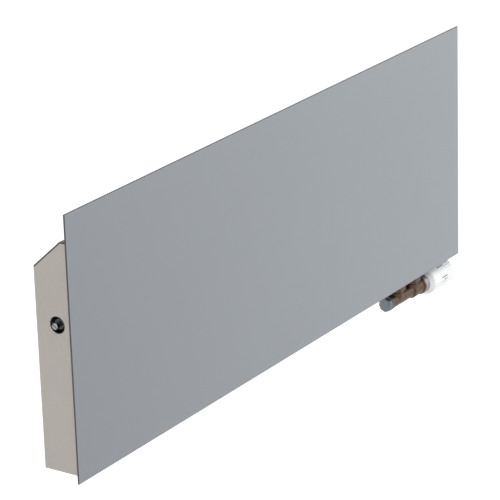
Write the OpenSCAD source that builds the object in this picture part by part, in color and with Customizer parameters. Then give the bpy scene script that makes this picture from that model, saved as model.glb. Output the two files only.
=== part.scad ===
// Hot-water wall convector: a flat front panel on a slim casing with a sloped grille,
// a finned copper exchanger inside, and a two-pipe valve block with a thermostatic head.
// X runs along the heater, -Y out of the wall, +Z up, and the wall is at Y = 0.
// The origin is the centre of the four wall screws. All lengths are millimetres.

/* [Front panel] */
// Length of the flat front panel
panel_w = 1100; // [1040:10:2000]
// Height of the front panel
panel_h = 410; // [390:5:600]
// How far the panel stands up past the casing's top
panel_overhang = 44.5; // [40:0.5:60]
// Thickness of the panel sheet
panel_t = 3; // [2:0.5:4]
// From the wall to the panel's front face
depth = 62; // [60:1:80]
// Gap between the panel's back and the casing's front edges
panel_gap = 1; // [0.5:0.1:1.5]

/* [Casing] */
// How far the casing's sides stand in from the panel's ends
side_inset = 2; // [1:1:10]
// From the panel's lower edge up to the casing's lower edge
casing_rise = 12.5; // [8:0.5:16]
// How far the casing's top falls from the level strip to the wall
slope_drop = 44.3; // [39:0.1:47]
// Depth of the level strip in front of the slope
top_strip = 8.6; // [7:0.2:10]
// Sheet thickness of the two cheeks
cheek_t = 1.5; // [1:0.1:2]
// Width of the cheeks' turned-in edges
cheek_return = 10; // [8:1:14]
// Sheet thickness of the inner casing sheets
sheet_t = 1; // [0.8:0.1:1.5]
// How far the front sheet stands behind the cheeks' front edges
front_recess = 4; // [3.8:0.1:4.5]
// Radius of the vent hole in the left cheek
vent_hole_r = 13; // [10:0.2:16]

/* [Grille] */
// Sheet thickness of the top grille
grille_t = 2; // [1.5:0.1:2.5]
// Width of each grille slot
slot_w = 7; // [5:0.5:8]
// Distance from one grille slot to the next
slot_pitch = 11; // [10:0.5:16]

/* [Wall rails] */
// From each end of the panel in to the middle of a wall rail
rail_inset = 230; // [220:5:270]
// Width of a wall rail
rail_w = 40; // [34:1:50]
// Sheet thickness of a wall rail
rail_t = 2; // [1.5:0.1:3]
// From each end of a wall rail in to its wall screw
screw_inset = 30; // [25:1:40]
// Radius of the wall screw holes
screw_hole_r = 3.25; // [2.5:0.25:4.5]

/* [Exchanger] */
// Outer radius of the copper tubes
tube_r = 7.5; // [6:0.5:8.5]
// Depth of a fin, front to back
fin_depth = 27; // [26:0.5:28]
// Thickness of a fin
fin_t = 0.5; // [0.4:0.1:0.8]
// Distance from one fin to the next
fin_pitch = 10; // [8:1:16]
// Outer radius of the upright header pipes
header_r = 11; // [10:0.5:12]

/* [Valve block] */
// Distance between the two pipe connections
pipe_spacing = 50; // [46:1:56]
// From the casing's lower edge down to the valve's axis
valve_drop = 43.5; // [42:0.5:60]
// Radius of the slim half of the valve's barrel
barrel_r = 11.3; // [10.8:0.1:12]
// Outer radius of the male pipe threads
pipe_thread_r = 13.2; // [12:0.1:14]
// Radius of the threaded end that takes the head
head_thread_r = 14; // [13.6:0.1:14.4]
// Radius of the head's union nut
head_nut_r = 16.4; // [15.8:0.1:17.4]
// Outer radius of the head's turning sleeve
head_r = 23.5; // [23:0.5:26]
// Length of the head's turning sleeve
head_len = 68; // [64:1:80]

/* [Hidden] */

$fn = 96;

// Overrun of every cut, and the clearances that the fits share
overrun = 1;
seat_gap = 0.3;
fit = 0.05;

// Planes of the panel and the casing, set by the rails, whose middle is the origin
rail_rise = 17.5;
rail_clear = 11.2;
casing_h = panel_h - panel_overhang - casing_rise;
casing_back_h = casing_h - slope_drop;
rail_h = casing_back_h - rail_rise - rail_clear;
rail_spacing = panel_w - 2 * rail_inset;
screw_spacing = rail_h - 2 * screw_inset;
y_panel_back = panel_t - depth;
y_casing = y_panel_back + panel_gap;
x_casing = panel_w / 2 - side_inset;
x_inside = x_casing - cheek_t;
z_casing_bottom = -rail_h / 2 - rail_rise;
z_panel_bottom = z_casing_bottom - casing_rise;
z_casing_top = z_casing_bottom + casing_h;
z_rear_top = z_casing_bottom + casing_back_h;
y_slope = y_casing + top_strip;
z_sheet_bottom = z_casing_bottom + cheek_t;
slope_fall = (z_casing_top - z_rear_top) / -y_slope;
slope_angle = atan(slope_fall);
function slope_z(y) = z_casing_top - (y - y_slope) * slope_fall;
function top_z(y) = min(z_casing_top, slope_z(y));

// Planes of the inner sheets and of the water circuit
y_front_sheet = y_casing + front_recess;
y_front_inside = y_front_sheet + sheet_t;
fin_front_gap = 1.5;
fin_back_gap = 2.5;
y_fins = y_front_inside + fin_front_gap;
y_water = y_fins + fin_depth / 2;
y_back_sheet = y_fins + fin_depth + fin_back_gap;
y_back_rear = y_back_sheet + sheet_t;
tray_flange = 12;
lip_flange = 4;
z_back_top = slope_z(y_back_rear) - seat_gap;

// Exchanger: rows of tubes, fins, end plates and headers
rows = 4;
return_rows = 2;
fins_rise = 60;
fins_clear = 68.7;
tube_wall = 1;
collar_t = 0.6;
end_plate_t = 1.5;
end_flange = 12;
end_screw_inset = 17;
header_wall = 1.2;
header_inset = 26;
cap_t = 2;
cap_spigot = 6;
cap_clear = 24;
return_cap_clear = 15;
fins_left_gap = 9;
fins_right_gap = 17;
tube_reach = 9;
z_fins = z_casing_bottom + fins_rise;
z_fins_top = z_rear_top - fins_clear;
row_pitch = (z_fins_top - z_fins) / rows;
z_row_low = z_fins + row_pitch / 2;
function row_z(i) = z_row_low + i * row_pitch;
z_row_top = row_z(rows - 1);
x_vent_header = header_inset - x_casing;
return_inset = 174;
x_return = panel_w / 2 - return_inset;
x_supply = x_return + pipe_spacing;
x_fins = x_vent_header + header_r + fins_left_gap + end_plate_t;
x_fins_end = x_return - header_r - fins_right_gap - end_plate_t;
x_plate_left = x_fins - seat_gap;
x_plate_right = x_fins_end + seat_gap;
z_header_low = z_row_low - cap_clear;
z_header_top = z_row_top + cap_clear;
z_return_top = row_z(return_rows - 1) + return_cap_clear;
header_bore = header_r - header_wall;

// Panel fixing: two stiffeners with studs that push into grommets
stiffener_h = 30;
stiffener_t = 2.5;
stiffener_inset = 70;
stud_above = 47.5;
stud_below = 27.5;
stud_inset = 250;
stud_r = 3;
stud_flange_r = 7;
stud_flange_t = 0.9;
stud_len = 10.5;
stud_tip = 1;
grommet_r = 7.5;
grommet_neck_r = 5;
grommet_lip_r = 6.2;
grommet_lip_t = 1.5;
x_stud = panel_w / 2 - stud_inset;
z_stud_top = z_fins_top + stud_above;
z_stud_low = z_fins - stud_below;
y_stud = y_panel_back + stiffener_t;
y_grommet = y_stud + stud_flange_t + seat_gap;

// Braces between the front and the back sheet, and their screws
brace_inset = 370;
x_brace = panel_w / 2 - brace_inset;
brace_flange = 12;
brace_rise = 12;
brace_clear = 4;
brace_screw_drop = 12;
screw_r = 2;
screw_head_r = 3.6;
screw_head_t = 1.8;
screw_len = 6;
z_brace = z_fins_top + brace_rise;
z_brace_flange_top = z_rear_top - brace_clear;
z_brace_screw_low = z_brace + brace_screw_drop;
z_brace_screw_top = z_brace_flange_top - brace_screw_drop;

// Grille: lips between the cheeks' turned-in edges, slots in the slope
lip_front_h = 12;
lip_rear_h = 10;
grille_wall_gap = 0.5;
slot_margin_front = 4;
slot_margin_rear = 6;
slot_margin_end = 22;
x_lip = x_casing - cheek_return - seat_gap;

// Wall rails: channels with hooks that pass through slots in the back sheet
hook_inset_top = 40;
hook_inset_low = 15;
hook_zs = [rail_h / 2 - hook_inset_top, hook_inset_low - rail_h / 2];
hook_below = 6;
hook_above = 6;
hook_nose_h = 6;
hook_nose_t = 3;
hook_slot_side = 0.5;
hook_slot_play = 8.5;
lock_tab_h = 12;
lock_rise = 6;
lock_r = 2.5;
lock_head_r = 4.5;
lock_head_t = 3;
lock_len = 8;
y_rail = y_back_rear + seat_gap;

// Air vent on the left header
vent_rise = 10.7;
vent_back = 1.2;
y_vent = y_water + vent_back;
z_vent = z_row_top + vent_rise;
vent_port_r = 9;
vent_bore_r = 6;
vent_port_end = 5.2;
vent_ring_r = 7.8;
vent_ring_t = 3;
vent_ring_back = 4.8;
vent_recess_r = 6.6;
vent_recess = 1;
vent_plug_len = 11;
bleed_head_r = 4.9;
bleed_head_t = 3.5;
bleed_out = 6;
bleed_shank_r = 4.1;
bleed_thread_r = 3;
bleed_neck = 8;
bleed_len = 19;
bleed_slot_w = 1.5;
bleed_slot_depth = 1.6;
bleed_slot_turn = 38;
x_vent_ring = vent_ring_back - x_casing;
x_bleed = -x_casing - bleed_out;

// Valve block: barrel, necks for the union nuts and male pipe threads
z_valve = z_casing_bottom - valve_drop;
neck_r = 13;
neck_foot_r = 7.8;
neck_foot = 8;
neck_top = 13.8;
neck_gap = 1.2;
neck_thread_r = 12.4;
neck_thread_top = 24.5;
nut_r = 17.3;
nut_h = 17;
nipple_r = 8;
nipple_wall = 1.5;
nipple_flange_t = 1.5;
union_seal_t = 0.8;
neck_bore_r = 7;
pipe_bore_r = 6.5;
pipe_neck = 16;
pipe_neck_r = 8.8;
pipe_thread_len = 12;
barrel_big_r = 14.1;
barrel_big_inset = 6;
barrel_cone = 3;
barrel_start = 24;
barrel_end = 26;
rim_r = 16.3;
rim_w = 2.5;
rim_flare = 3;
head_thread_len = 7;
insert_bore_r = 8;
insert_bore_len = 30;
lock_bore_r = 5.5;
lock_bore_len = 24;
cap_thread_r = 8.4;
cap_thread_len = 6;
x_barrel = x_return - barrel_start;
x_barrel_end = x_supply + barrel_end;
x_head_thread = x_barrel_end + head_thread_len;

// Lockshield: spindle with a hexagon socket under an eight-sided cap
spindle_r = 3.5;
spindle_thread_r = 5.4;
spindle_thread_len = 11;
spindle_len = 30;
spindle_out = 4;
socket_r = 2.5;
socket_depth = 4;
spindle_shoulder = 2;
seal_groove_w = 2.2;
seal_groove_in = 9;
cap_r = 12;
cap_len = 9;
cap_groove_r = 11;
cap_groove_w = 1.2;
cap_flange_r = 12;
cap_flange_w = 2.5;
cap_lid = 2.2;

// Thermostatic insert, pin and head
insert_nose_r = 6;
insert_nose = 4;
insert_lid = 2;
insert_cavity_r = 6.5;
pin_r = 2;
pin_in = 24;
pin_out = 6;
washer_r = 5.5;
washer_t = 2.5;
rod_r = 2.5;
rod_len = 14;
sensor_r = 13;
sensor_len = 34;
nut_len = 11;
base_foot_play = 0.5;
base_foot_t = 1.5;
base_flange_t = 4;
base_tube_r = 15.5;
base_tube_wall = 2;
base_len = 46;
base_start = 1;
base_neck_r = 12;
base_neck_wall = 1.5;
base_cone_r = 17;
base_cone_len = 7;
base_rim_w = 1;
sleeve_wall = 2.4;
sleeve_round = 5;
sleeve_step = 0.4;
sleeve_boss_r = 8;
sleeve_boss_gap = 2;
rib_count = 30;
rib_out = 0.9;
rib_w = 2.2;
rib_len = 20;
sleeve_core_r = head_r - rib_out;
sleeve_bore_r = sleeve_core_r - sleeve_wall;
base_ring_r = sleeve_bore_r - fit;
sleeve_mouth_r = sleeve_core_r - sleeve_step;
base_foot_r = head_thread_r - base_foot_play;
x_nut = x_barrel_end + seat_gap;
x_nut_end = x_nut + nut_len;
x_cone = x_nut_end + seat_gap;
x_cone_end = x_cone + base_cone_len;
x_sleeve = x_cone_end + base_rim_w + seat_gap;
x_sleeve_end = x_sleeve + head_len;
x_base = x_sleeve + base_start;
x_pin = x_head_thread + insert_nose - pin_in;
x_pin_end = x_head_thread + insert_nose + pin_out;
x_sensor = x_pin_end + rod_len;

panel_color = [0.60, 0.62, 0.65];
casing_color = [0.69, 0.67, 0.65];
inner_color = [0.55, 0.56, 0.57];
grille_color = [0.35, 0.35, 0.35];
zinc_color = [0.66, 0.67, 0.68];
copper_color = [0.72, 0.45, 0.32];
fin_color = [0.78, 0.79, 0.80];
brown_color = [0.38, 0.32, 0.26];
cap_color = [0.48, 0.51, 0.52];
rubber_color = [0.08, 0.08, 0.08];
white_color = [0.95, 0.95, 0.95];
nylon_color = [0.85, 0.85, 0.82];

// Outlines pulled along one axis: X takes (y, z), Y takes (x, z) and Z takes (x, y)
module along_x(x0, x1) {
    translate([x0, 0, 0])
        rotate([90, 0, 90])
            linear_extrude(x1 - x0)
                children();
}

module along_z(z0, z1) {
    translate([0, 0, z0])
        linear_extrude(z1 - z0)
            children();
}

// Round bars along one axis, between two places on it
module rod_x(x0, x1, r) {
    translate([x0, 0, 0])
        rotate([0, 90, 0])
            cylinder(h = x1 - x0, r = r);
}

module rod_y(y0, y1, r) {
    translate([0, y0, 0])
        rotate([-90, 0, 0])
            cylinder(h = y1 - y0, r = r);
}

module rod_z(z0, z1, r) {
    translate([0, 0, z0])
        cylinder(h = z1 - z0, r = r);
}

// Turned shape about X: the points are (x, radius)
module turned_x(points) {
    rotate([0, 90, 0])
        rotate_extrude()
            polygon([for (p = points) [p[1], p[0]]]);
}

// Turned shape about Y: the points are (y, radius)
module turned_y(points) {
    rotate([-90, 0, 0])
        rotate_extrude()
            polygon([for (p = points) [p[1], p[0]]]);
}

module block(low, high) {
    translate(low)
        cube(high - low);
}

module ring(r, wire) {
    rotate_extrude()
        translate([r, 0])
            circle(r = wire);
}

// Flat panel and its fixings
module front_panel() {
    color(panel_color)
        block(
            [-panel_w / 2, -depth, z_panel_bottom],
            [panel_w / 2, y_panel_back, z_panel_bottom + panel_h]
        );
}

module panel_stiffeners() {
    x_end = panel_w / 2 - stiffener_inset;
    color(zinc_color)
        for (z = [z_stud_top, z_stud_low])
            block(
                [-x_end, y_panel_back, z - stiffener_h / 2],
                [x_end, y_stud, z + stiffener_h / 2]
            );
}

module at_studs() {
    for (x = [-x_stud, x_stud], z = [z_stud_top, z_stud_low])
        translate([x, 0, z])
            children();
}

module panel_studs() {
    y_flange = y_stud + stud_flange_t;
    y_tip = y_stud + stud_len;
    color(zinc_color)
        at_studs()
            turned_y([
                [y_stud, 0], [y_stud, stud_flange_r], [y_flange, stud_flange_r],
                [y_flange, stud_r], [y_tip - stud_tip, stud_r],
                [y_tip, stud_r - stud_tip], [y_tip, 0]
            ]);
}

module stud_grommets() {
    y_lip_end = y_front_inside + grommet_lip_t;
    bore = stud_r + fit;
    color(nylon_color)
        at_studs()
            turned_y([
                [y_grommet, bore], [y_grommet, grommet_r], [y_front_sheet, grommet_r],
                [y_front_sheet, grommet_neck_r], [y_front_inside, grommet_neck_r],
                [y_front_inside, grommet_lip_r], [y_lip_end, grommet_lip_r], [y_lip_end, bore]
            ]);
}

// Casing: two cheeks with turned-in edges and two inner sheets
module cheek_blank() {
    x_in = cheek_return - x_casing;
    along_x(-x_casing, -x_inside)
        polygon([
            [y_casing, z_casing_bottom], [0, z_casing_bottom], [0, z_rear_top],
            [y_slope, z_casing_top], [y_casing, z_casing_top]
        ]);
    block([-x_casing, y_casing, z_casing_bottom], [x_in, y_casing + cheek_t, z_casing_top]);
    block([-x_casing, -cheek_t, z_casing_bottom], [x_in, 0, z_rear_top]);
    block([-x_casing, y_casing, z_casing_bottom], [x_in, 0, z_sheet_bottom]);
}

module cheek_left() {
    color(casing_color)
        difference() {
            cheek_blank();
            translate([0, y_vent, z_vent])
                rod_x(-x_casing - overrun, overrun - x_inside, vent_hole_r);
        }
}

module cheek_right() {
    color(casing_color)
        mirror([1, 0, 0])
            cheek_blank();
}

// Places of the brace screws on one sheet: two on each brace
module at_brace_screws() {
    for (side = [-1, 1], z = [z_brace_screw_low, z_brace_screw_top])
        translate([side * x_brace + brace_flange / 2, 0, z])
            children();
}

module casing_front() {
    color(inner_color)
        difference() {
            union() {
                block([-x_inside, y_front_sheet, z_sheet_bottom], [x_inside, y_front_inside, z_casing_top]);
                block(
                    [-x_inside, y_front_sheet, z_casing_top - sheet_t],
                    [x_inside, y_front_sheet + lip_flange, z_casing_top]
                );
                block(
                    [-x_inside, y_front_sheet, z_sheet_bottom],
                    [x_inside, y_front_sheet + lip_flange, z_sheet_bottom + sheet_t]
                );
                for (x = [-x_inside, x_inside - sheet_t])
                    block(
                        [x, y_front_sheet, z_sheet_bottom],
                        [x + sheet_t, y_front_sheet + tray_flange, z_rear_top]
                    );
            }
            translate([0, y_vent, z_vent])
                rod_x(-x_inside - overrun, sheet_t + overrun - x_inside, vent_hole_r);
            at_studs()
                rod_y(y_front_sheet - overrun, y_front_inside + overrun, grommet_neck_r + fit);
            at_brace_screws()
                rod_y(y_front_sheet - overrun, y_front_inside + overrun, screw_r + fit);
        }
}

module at_end_screws() {
    off = end_plate_t + end_flange / 2;
    for (x = [x_plate_left - off, x_plate_right + off])
        for (z = [z_fins + end_screw_inset, z_fins_top - end_screw_inset])
            translate([x, 0, z])
                children();
}

module at_lock_screws() {
    for (x = [-rail_spacing / 2, rail_spacing / 2])
        translate([x, 0, lock_rise - rail_h / 2])
            children();
}

module casing_back() {
    slot_half = rail_t / 2 + hook_slot_side;
    color(inner_color)
        difference() {
            union() {
                block([-x_inside, y_back_sheet, z_sheet_bottom], [x_inside, y_back_rear, z_back_top]);
                for (x = [-x_inside, x_inside - sheet_t])
                    block(
                        [x, y_back_sheet, z_sheet_bottom],
                        [x + sheet_t, y_back_sheet + tray_flange, z_rear_top]
                    );
            }
            for (xr = [-rail_spacing / 2, rail_spacing / 2], side = [-1, 1], z = hook_zs) {
                x = xr + side * (rail_w - rail_t) / 2;
                z_slot = z - hook_below - hook_slot_play;
                block(
                    [x - slot_half, y_back_sheet - overrun, z_slot],
                    [x + slot_half, y_back_rear + overrun, z + hook_above]
                );
            }
            at_lock_screws()
                rod_y(y_back_sheet - overrun, y_back_rear + overrun, lock_r + fit);
            at_end_screws()
                rod_y(y_back_sheet - overrun, y_back_rear + overrun, screw_r + fit);
            at_brace_screws()
                rod_y(y_back_sheet - overrun, y_back_rear + overrun, screw_r + fit);
        }
}

// Brace at x: a plate across the casing with a screwed flange at each sheet
module brace(x) {
    y_front_end = y_front_sheet + lip_flange + seat_gap;
    z_front_end = z_casing_top - sheet_t - seat_gap;
    difference() {
        union() {
            along_x(x, x + sheet_t)
                polygon([
                    [y_front_inside, z_brace], [y_back_sheet, z_brace],
                    [y_back_sheet, top_z(y_back_sheet) - seat_gap],
                    [y_front_end, top_z(y_front_end) - seat_gap],
                    [y_front_end, z_front_end], [y_front_inside, z_front_end]
                ]);
            block(
                [x, y_front_inside, z_brace],
                [x + brace_flange, y_front_inside + sheet_t, z_brace_flange_top]
            );
            block(
                [x, y_back_sheet - sheet_t, z_brace],
                [x + brace_flange, y_back_sheet, z_brace_flange_top]
            );
        }
        for (z = [z_brace_screw_low, z_brace_screw_top])
            translate([x + brace_flange / 2, 0, z])
                rod_y(y_front_inside - overrun, y_back_sheet + overrun, screw_r + fit);
    }
}

module brace_left() {
    color(zinc_color)
        brace(-x_brace);
}

module brace_right() {
    color(zinc_color)
        brace(x_brace);
}

// Cheese-head screw along Y: the head's bearing face is at y, the shank points along dir
module sheet_screw(y, dir) {
    mirror([0, dir < 0 ? 1 : 0, 0])
        translate([0, dir * y, 0])
            turned_y([
                [-screw_head_t, 0], [-screw_head_t, screw_head_r - seat_gap],
                [seat_gap - screw_head_t, screw_head_r], [0, screw_head_r],
                [0, screw_r], [screw_len, screw_r], [screw_len, 0]
            ]);
}

module brace_screws() {
    color(zinc_color)
        at_brace_screws() {
            sheet_screw(y_front_sheet, 1);
            sheet_screw(y_back_rear, -1);
        }
}

// Grille: a bent sheet on the casing's top edges, with a lip at each long side
module top_grille() {
    bend = grille_t * tan(slope_angle / 2);
    rise = grille_t / cos(slope_angle);
    y_rear = -grille_wall_gap;
    y_slot = y_slope + slot_margin_front + slot_w / 2;
    y_slot_end = y_rear - grille_t - slot_margin_rear - slot_w / 2;
    slots = floor((x_casing - slot_margin_end) / slot_pitch);
    color(grille_color)
        difference() {
            union() {
                along_x(-x_casing, x_casing)
                    polygon([
                        [y_casing, z_casing_top], [y_slope, z_casing_top],
                        [y_rear, slope_z(y_rear) + fit], [y_rear, slope_z(y_rear) + rise],
                        [y_slope + bend, z_casing_top + grille_t],
                        [y_casing, z_casing_top + grille_t]
                    ]);
                block(
                    [-x_lip, y_casing, z_casing_top - lip_front_h],
                    [x_lip, y_casing + grille_t, z_casing_top + grille_t / 2]
                );
                block(
                    [-x_lip, y_rear - grille_t, z_rear_top - lip_rear_h],
                    [x_lip, y_rear, slope_z(y_rear) + rise / 2]
                );
            }
            along_z(z_rear_top - lip_rear_h, z_casing_top + grille_t + overrun)
                for (i = [-slots : slots])
                    translate([i * slot_pitch, 0]) {
                        translate([-slot_w / 2, y_slot])
                            square([slot_w, y_slot_end - y_slot]);
                        for (y = [y_slot, y_slot_end])
                            translate([0, y])
                                circle(d = slot_w);
                    }
        }
}

// Wall rail centred at x: a channel with four hooks and a locking tab
module wall_rail(x) {
    x0 = x - rail_w / 2;
    x1 = x + rail_w / 2;
    y_hook = y_back_sheet - seat_gap;
    difference() {
        union() {
            block([x0, -rail_t, -rail_h / 2], [x1, 0, rail_h / 2]);
            block(
                [x0, y_rail, -rail_h / 2],
                [x1, y_rail + rail_t, lock_tab_h - rail_h / 2]
            );
            for (xs = [x0, x1 - rail_t]) {
                block([xs, y_rail, -rail_h / 2], [xs + rail_t, 0, rail_h / 2]);
                for (z = hook_zs)
                    along_x(xs, xs + rail_t)
                        polygon([
                            [y_rail + rail_t, z - hook_below],
                            [y_hook - hook_nose_t, z - hook_below],
                            [y_hook - hook_nose_t, z + hook_above + hook_nose_h],
                            [y_hook, z + hook_above + hook_nose_h],
                            [y_hook, z + hook_above], [y_rail + rail_t, z + hook_above]
                        ]);
            }
        }
        for (z = [-screw_spacing / 2, screw_spacing / 2])
            translate([x, 0, z])
                rod_y(-rail_t - overrun, overrun, screw_hole_r);
        translate([x, 0, lock_rise - rail_h / 2])
            rod_y(y_rail - overrun, y_rail + rail_t + overrun, lock_r + fit);
    }
}

module wall_rail_left() {
    color(zinc_color)
        wall_rail(-rail_spacing / 2);
}

module wall_rail_right() {
    color(zinc_color)
        wall_rail(rail_spacing / 2);
}

module rail_lock_screws() {
    color(zinc_color)
        at_lock_screws()
            difference() {
                union() {
                    rod_y(y_back_sheet - lock_head_t, y_back_sheet, lock_head_r);
                    rod_y(y_back_sheet - lock_head_t / 2, y_back_sheet + lock_len, lock_r);
                }
                translate([0, y_back_sheet - lock_head_t - overrun, 0])
                    rotate([-90, 0, 0])
                        cylinder(h = lock_head_t / 2 + overrun, r = lock_r, $fn = 6);
            }
}

// Exchanger: fins joined by their collars, on four tubes between end plates
module fin_pack() {
    fins = floor((x_fins_end - x_fins - fin_t) / fin_pitch);
    color(fin_color)
        difference() {
            union() {
                for (i = [0 : fins])
                    translate([x_fins + i * fin_pitch, y_fins, z_fins])
                        cube([fin_t, fin_depth, z_fins_top - z_fins]);
                for (i = [0 : rows - 1])
                    translate([0, y_water, row_z(i)])
                        rod_x(x_fins, x_fins + fins * fin_pitch + fin_t, tube_r + fit + collar_t);
            }
            for (i = [0 : rows - 1])
                translate([0, y_water, row_z(i)])
                    rod_x(x_fins - overrun, x_fins_end + overrun, tube_r + fit);
        }
}

module tube(i, x_end) {
    x_start = x_vent_header + tube_reach;
    translate([0, y_water, row_z(i)])
        difference() {
            rod_x(x_start, x_end, tube_r);
            rod_x(x_start - overrun, x_end + overrun, tube_r - tube_wall);
        }
}

module upper_tubes() {
    color(copper_color)
        for (i = [return_rows : rows - 1])
            tube(i, x_supply - tube_reach);
}

module lower_tubes() {
    color(copper_color)
        for (i = [0 : return_rows - 1])
            tube(i, x_return - tube_reach);
}

// End plate: x is the plate's face at the fins, side is -1 on the left and 1 on the right
module end_plate(x, side) {
    x_far = x + side * end_plate_t;
    x_flange = x_far + side * end_flange;
    difference() {
        union() {
            block([min(x, x_far), y_fins, z_fins], [max(x, x_far), y_back_sheet, z_fins_top]);
            block(
                [min(x, x_flange), y_back_sheet - end_plate_t, z_fins],
                [max(x, x_flange), y_back_sheet, z_fins_top]
            );
        }
        for (i = [0 : rows - 1])
            translate([0, y_water, row_z(i)])
                rod_x(min(x, x_far) - overrun, max(x, x_far) + overrun, tube_r + fit);
        for (z = [z_fins + end_screw_inset, z_fins_top - end_screw_inset])
            translate([x_far + side * end_flange / 2, 0, z])
                rod_y(y_back_sheet - end_plate_t - overrun, y_back_sheet + overrun, screw_r + fit);
    }
}

module end_plate_left() {
    color(zinc_color)
        end_plate(x_plate_left, -1);
}

module end_plate_right() {
    color(zinc_color)
        end_plate(x_plate_right, 1);
}

module exchanger_screws() {
    color(zinc_color)
        at_end_screws()
            sheet_screw(y_back_rear, -1);
}

// Upright header: a pipe at x from z0 to z1 with tube holes on one side
module header(x, z0, z1, holes, side) {
    reach = side * (header_r + overrun);
    translate([x, y_water, 0])
        difference() {
            rod_z(z0, z1, header_r);
            rod_z(z0 - overrun, z1 + overrun, header_bore);
            for (i = holes)
                translate([0, 0, row_z(i)])
                    rod_x(min(0, reach), max(0, reach), tube_r + fit);
        }
}

module vent_header() {
    color(copper_color)
        difference() {
            union() {
                header(x_vent_header, z_header_low, z_header_top, [0 : rows - 1], 1);
                translate([0, y_vent, z_vent])
                    difference() {
                        rod_x(x_vent_header - header_r - vent_port_end, x_vent_header, vent_port_r);
                        translate([x_vent_header, -vent_back, -vent_port_r - overrun])
                            rod_z(0, 2 * (vent_port_r + overrun), header_bore);
                    }
            }
            translate([0, y_vent, z_vent])
                rod_x(x_vent_header - header_r - vent_port_end - overrun, x_vent_header, vent_bore_r);
        }
}

// Lower end of a connected header: a slim nipple with a flange for the union nut
module nipple(x) {
    z_shoulder = z_valve + neck_top + neck_gap + nut_h;
    z_flange = z_valve + neck_thread_top + union_seal_t;
    z_join = z_shoulder + seat_gap;
    translate([x, y_water, 0])
        difference() {
            union() {
                rod_z(z_flange, z_join + header_wall, nipple_r);
                rod_z(z_flange, z_flange + nipple_flange_t, neck_thread_r - fit);
                rod_z(z_join, z_join + header_wall, header_r);
            }
            rod_z(z_flange - overrun, z_join + header_wall + overrun, nipple_r - nipple_wall);
        }
}

module supply_header() {
    z_join = z_valve + neck_top + neck_gap + nut_h + seat_gap;
    color(copper_color)
        union() {
            header(x_supply, z_join, z_header_top, [return_rows : rows - 1], -1);
            nipple(x_supply);
        }
}

module return_header() {
    z_join = z_valve + neck_top + neck_gap + nut_h + seat_gap;
    color(copper_color)
        union() {
            header(x_return, z_join, z_return_top, [0 : return_rows - 1], -1);
            nipple(x_return);
        }
}

// Header cap on the pipe end at z: up is 1 for an upper end and -1 for a lower one
module header_cap(x, z, up) {
    spigot_r = header_bore - fit;
    translate([x, y_water, z])
        mirror([0, 0, up < 0 ? 1 : 0])
            difference() {
                union() {
                    rod_z(0, cap_t, header_r);
                    rod_z(-cap_spigot, cap_t / 2, spigot_r);
                }
                rod_z(-cap_spigot - overrun, 0, spigot_r - header_wall);
            }
}

module header_caps() {
    color(copper_color) {
        header_cap(x_vent_header, z_header_top, 1);
        header_cap(x_vent_header, z_header_low, -1);
        header_cap(x_supply, z_header_top, 1);
        header_cap(x_return, z_return_top, 1);
    }
}

// Air vent: a plug with a rimmed ring, its seal and the slotted bleed screw
module vent_plug() {
    x_back = x_vent_ring + vent_ring_t;
    x_end = x_back + vent_plug_len;
    bore = bleed_thread_r + fit;
    color(cap_color)
        translate([0, y_vent, z_vent])
            turned_x([
                [x_vent_ring, vent_recess_r], [x_vent_ring, vent_ring_r], [x_back, vent_ring_r],
                [x_back, vent_bore_r - fit], [x_end, vent_bore_r - fit], [x_end, bore],
                [x_vent_ring + vent_recess, bore], [x_vent_ring + vent_recess, vent_recess_r]
            ]);
}

module vent_seal() {
    x_port = x_vent_header - header_r - vent_port_end;
    x_mid = (x_vent_ring + vent_ring_t + x_port) / 2;
    wire = (x_port - x_vent_ring - vent_ring_t) / 2 - fit;
    color(rubber_color)
        translate([x_mid, y_vent, z_vent])
            rotate([0, 90, 0])
                ring(vent_bore_r + fit + wire, wire);
}

module bleed_screw() {
    x_head_end = x_bleed + bleed_head_t;
    x_neck = x_head_end + bleed_neck;
    color(zinc_color)
        translate([0, y_vent, z_vent])
            difference() {
                turned_x([
                    [x_bleed, 0], [x_bleed, bleed_head_r - seat_gap],
                    [x_bleed + seat_gap, bleed_head_r], [x_head_end, bleed_head_r],
                    [x_head_end, bleed_shank_r], [x_neck, bleed_shank_r],
                    [x_neck, bleed_thread_r], [x_bleed + bleed_len, bleed_thread_r],
                    [x_bleed + bleed_len, 0]
                ]);
                rotate([bleed_slot_turn, 0, 0])
                    block(
                        [x_bleed - overrun, -bleed_head_r - overrun, -bleed_slot_w / 2],
                        [x_bleed + bleed_slot_depth, bleed_head_r + overrun, bleed_slot_w / 2]
                    );
            }
}

// Union nuts between the valve's necks and the headers, and their flat seals
module at_pipes() {
    for (x = [x_return, x_supply])
        translate([x, y_water, z_valve])
            children();
}

module union_nuts() {
    z0 = neck_top + neck_gap;
    z1 = z0 + nut_h;
    z_lid = neck_thread_top + union_seal_t + nipple_flange_t;
    color(brown_color)
        at_pipes()
            difference() {
                translate([0, 0, z0])
                    cylinder(h = z1 - z0, r = nut_r, $fn = 6);
                rod_z(z0 - overrun, z_lid, neck_thread_r + fit);
                rod_z(z_lid - overrun, z1 + overrun, nipple_r + fit);
            }
}

module union_seals() {
    color(rubber_color)
        at_pipes()
            difference() {
                rod_z(neck_thread_top, neck_thread_top + union_seal_t, neck_thread_r - fit);
                rod_z(neck_thread_top - overrun, neck_thread_top + union_seal_t + overrun, neck_bore_r);
            }
}

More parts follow.
